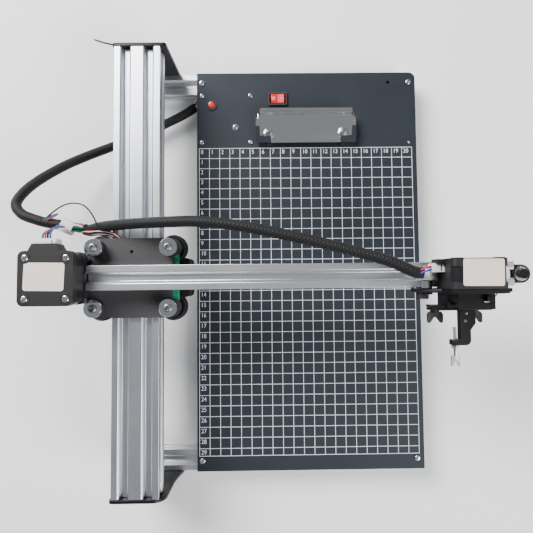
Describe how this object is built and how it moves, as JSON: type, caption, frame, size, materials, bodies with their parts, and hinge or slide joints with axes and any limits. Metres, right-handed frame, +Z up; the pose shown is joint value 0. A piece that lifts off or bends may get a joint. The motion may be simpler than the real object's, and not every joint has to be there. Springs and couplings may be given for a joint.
{
  "type": "desktop pen plotter",
  "caption": "Desktop pen plotter: a gridded A4 writing board beside an aluminium rail, with a sliding arm that carries a pen lift and clamp.",
  "frame": {"origin": "middle of the machine's box on the table, cords left out", "axes": "+Z up, +X along the writing arm away from the rail, +Y along the rail towards the clip end of the board"},
  "size_m": [0.4416, 0.4013, 0.1562],
  "materials": {
    "aluminium": "satin, clear anodised extrusion",
    "zinc_plate": "bright zinc-plated steel",
    "nickel_plate": "bright nickel-plated sheet",
    "spring_steel": "bare spring steel",
    "board_black": "satin charcoal with a fine printed white grid",
    "black_sheet": "satin black powder coat",
    "textured_plate": "textured dark grey powder coat",
    "motor_black": "gloss black",
    "black_plastic": "moulded black plastic",
    "black_rubber": "matt black rubber",
    "wheel_white": "natural acetal",
    "switch_red": "moulded red plastic",
    "circuit_green": "green solder mask",
    "tag_beige": "bare paper tag",
    "sleeve_black": "braided black sleeve"
  },
  "bodies": {
    "base": {"rear_cross_beam": "aluminium", "front_cross_beam": "aluminium", "board_screw_1": "zinc_plate", "board_screw_2": "zinc_plate", "board_screw_3": "zinc_plate", "board_screw_4": "zinc_plate", "writing_board": "board_black", "controller_board": "circuit_green", "switch_bezel": "black_plastic", "pause_collar": "zinc_plate", "clip_base": "nickel_plate", "clip_spring": "spring_steel", "clip_pad_left": "black_rubber", "clip_pad_right": "black_rubber", "y_rail": "aluminium", "rear_end_plate": "black_sheet", "front_end_plate": "black_sheet", "y_belt": "black_rubber", "tie_strap": "black_plastic", "harness_rear": "sleeve_black"},
    "power_rocker": {"power_rocker": "switch_red"},
    "pause_button": {"pause_button": "switch_red"},
    "clip_jaw": {"clip_jaw": "nickel_plate"},
    "y_carriage": {"carriage_plate": "textured_plate", "corner_bolt_1": "zinc_plate", "corner_bolt_2": "zinc_plate", "corner_bolt_3": "zinc_plate", "corner_bolt_4": "zinc_plate", "junction_board": "circuit_green", "y_motor": "motor_black", "y_motor_bracket": "black_sheet", "x_motor": "motor_black", "x_arm": "aluminium", "x_belt": "black_rubber", "x_idler_bracket": "black_sheet", "harness_front": "sleeve_black", "harness_tag": "tag_beige"},
    "y_wheel_1": {"y_wheel_1": "black_plastic"},
    "y_wheel_2": {"y_wheel_2": "black_plastic"},
    "y_wheel_3": {"y_wheel_3": "black_plastic"},
    "y_wheel_4": {"y_wheel_4": "black_plastic"},
    "y_pinion": {"y_pinion": "zinc_plate"},
    "x_pulley": {"x_pulley": "zinc_plate"},
    "x_idler_pulley": {"x_idler_pulley": "zinc_plate"},
    "pen_carriage": {"pen_carriage_plate": "black_sheet", "z_motor": "motor_black", "limit_switch": "black_plastic", "lift_frame": "black_sheet"},
    "pen_wheel_1": {"pen_wheel_1": "wheel_white"},
    "pen_wheel_2": {"pen_wheel_2": "wheel_white"},
    "pen_wheel_3": {"pen_wheel_3": "wheel_white"},
    "z_pinion": {"z_pinion": "zinc_plate"},
    "pen_lift": {"lift_block": "black_sheet", "pen_bracket": "black_sheet"},
    "thumb_screw": {"thumb_screw": "black_plastic"},
    "wing_bolt_left": {"wing_bolt_left": "black_plastic"},
    "wing_bolt_right": {"wing_bolt_right": "black_plastic"},
    "pen_clamp_screw": {"pen_clamp_screw": "spring_steel"}
  },
  "joints": [
    {"name": "power_rocker_tilt", "type": "hinge", "parent": "base", "child": "power_rocker", "pos_m": [-0.0033, 0.164, 0.0214], "axis": [0, 1, 0], "range_deg": [-8, 8]},
    {"name": "pause_button_press", "type": "slide", "parent": "base", "child": "pause_button", "axis": [0, 0, -1], "range_m": [0, 0.0008], "stiffness_N_per_m": 400, "springref_m": -0.0006},
    {"name": "clip_jaw_open", "type": "hinge", "parent": "base", "child": "clip_jaw", "pos_m": [0.0239, 0.142, 0.0302], "axis": [1, 0, 0], "range_deg": [-25, 0], "stiffness_Nm_per_rad": 0.25, "springref_deg": 20.05},
    {"name": "y_slide", "type": "slide", "parent": "base", "child": "y_carriage", "axis": [0, 1, 0], "range_m": [-0.147, 0.165], "deforming": ["harness_rear"]},
    {"name": "y_wheel_1_spin", "type": "hinge", "parent": "y_carriage", "child": "y_wheel_1", "pos_m": [-0.15705, 0.013, 0.076], "axis": [0, 0, 1], "range_deg": [-900, 900]},
    {"name": "y_wheel_2_spin", "type": "hinge", "parent": "y_carriage", "child": "y_wheel_2", "pos_m": [-0.09555, 0.013, 0.076], "axis": [0, 0, 1], "range_deg": [-900, 900]},
    {"name": "y_wheel_3_spin", "type": "hinge", "parent": "y_carriage", "child": "y_wheel_3", "pos_m": [-0.15705, -0.037, 0.076], "axis": [0, 0, 1], "range_deg": [-900, 900]},
    {"name": "y_wheel_4_spin", "type": "hinge", "parent": "y_carriage", "child": "y_wheel_4", "pos_m": [-0.09555, -0.037, 0.076], "axis": [0, 0, 1], "range_deg": [-900, 900]},
    {"name": "y_pinion_spin", "type": "hinge", "parent": "y_carriage", "child": "y_pinion", "pos_m": [-0.1013, -0.012, 0.076], "axis": [0, 0, 1], "range_deg": [-1600, 1600]},
    {"name": "pen_slide", "type": "slide", "parent": "y_carriage", "child": "pen_carriage", "axis": [1, 0, 0], "range_m": [-0.2, 0], "deforming": ["harness_front"]},
    {"name": "x_pulley_spin", "type": "hinge", "parent": "y_carriage", "child": "x_pulley", "pos_m": [-0.18105, -0.012, 0.1024], "axis": [0, 0, 1], "range_deg": [-2000, 2000]},
    {"name": "x_idler_spin", "type": "hinge", "parent": "y_carriage", "child": "x_idler_pulley", "pos_m": [0.1947, -0.012, 0.1024], "axis": [0, 0, 1], "range_deg": [-2000, 2000]},
    {"name": "pen_wheel_1_spin", "type": "hinge", "parent": "pen_carriage", "child": "pen_wheel_1", "pos_m": [0.1127, -0.012, 0.1188], "axis": [0, 1, 0], "range_deg": [-2000, 2000]},
    {"name": "pen_wheel_2_spin", "type": "hinge", "parent": "pen_carriage", "child": "pen_wheel_2", "pos_m": [0.1707, -0.012, 0.1188], "axis": [0, 1, 0], "range_deg": [-2000, 2000]},
    {"name": "pen_wheel_3_spin", "type": "hinge", "parent": "pen_carriage", "child": "pen_wheel_3", "pos_m": [0.1417, -0.012, 0.086], "axis": [0, 1, 0], "range_deg": [-2000, 2000]},
    {"name": "pen_lift_slide", "type": "slide", "parent": "pen_carriage", "child": "pen_lift", "axis": [0, 0, 1], "range_m": [0, 0.006]},
    {"name": "z_pinion_spin", "type": "hinge", "parent": "pen_carriage", "child": "z_pinion", "pos_m": [0.1417, -0.0308, 0.13505], "axis": [0, 1, 0], "range_deg": [-180, 180]},
    {"name": "thumb_screw_turn", "type": "hinge", "parent": "pen_lift", "child": "thumb_screw", "pos_m": [0.1557, -0.031, 0.112], "axis": [1, 0, 0], "range_deg": [-180, 180]},
    {"name": "wing_bolt_left_turn", "type": "hinge", "parent": "pen_lift", "child": "wing_bolt_left", "pos_m": [0.1222, -0.0407, 0.1063], "axis": [0, 1, 0], "range_deg": [-360, 0]},
    {"name": "wing_bolt_right_turn", "type": "hinge", "parent": "pen_lift", "child": "wing_bolt_right", "pos_m": [0.1542, -0.0407, 0.1063], "axis": [0, 1, 0], "range_deg": [-360, 0]},
    {"name": "pen_clamp_screw_turn", "type": "hinge", "parent": "pen_lift", "child": "pen_clamp_screw", "pos_m": [0.1342, -0.0677, 0.11765], "axis": [0, 1, 0], "range_deg": [-360, 0]}
  ],
  "couplings": [
    {"joint": "y_wheel_1_spin", "follows": "y_slide", "rad_per_m": -93.023},
    {"joint": "y_wheel_2_spin", "follows": "y_slide", "rad_per_m": 93.023},
    {"joint": "y_wheel_3_spin", "follows": "y_slide", "rad_per_m": -93.023},
    {"joint": "y_wheel_4_spin", "follows": "y_slide", "rad_per_m": 93.023},
    {"joint": "y_pinion_spin", "follows": "y_slide", "rad_per_m": 156.25},
    {"joint": "pen_wheel_1_spin", "follows": "pen_slide", "rad_per_m": 156.25},
    {"joint": "pen_wheel_2_spin", "follows": "pen_slide", "rad_per_m": 156.25},
    {"joint": "pen_wheel_3_spin", "follows": "pen_slide", "rad_per_m": -156.25},
    {"joint": "x_pulley_spin", "follows": "pen_slide", "rad_per_m": 156.25},
    {"joint": "x_idler_spin", "follows": "pen_slide", "rad_per_m": 156.25},
    {"joint": "z_pinion_spin", "follows": "pen_lift_slide", "rad_per_m": -156.25}
  ]
}
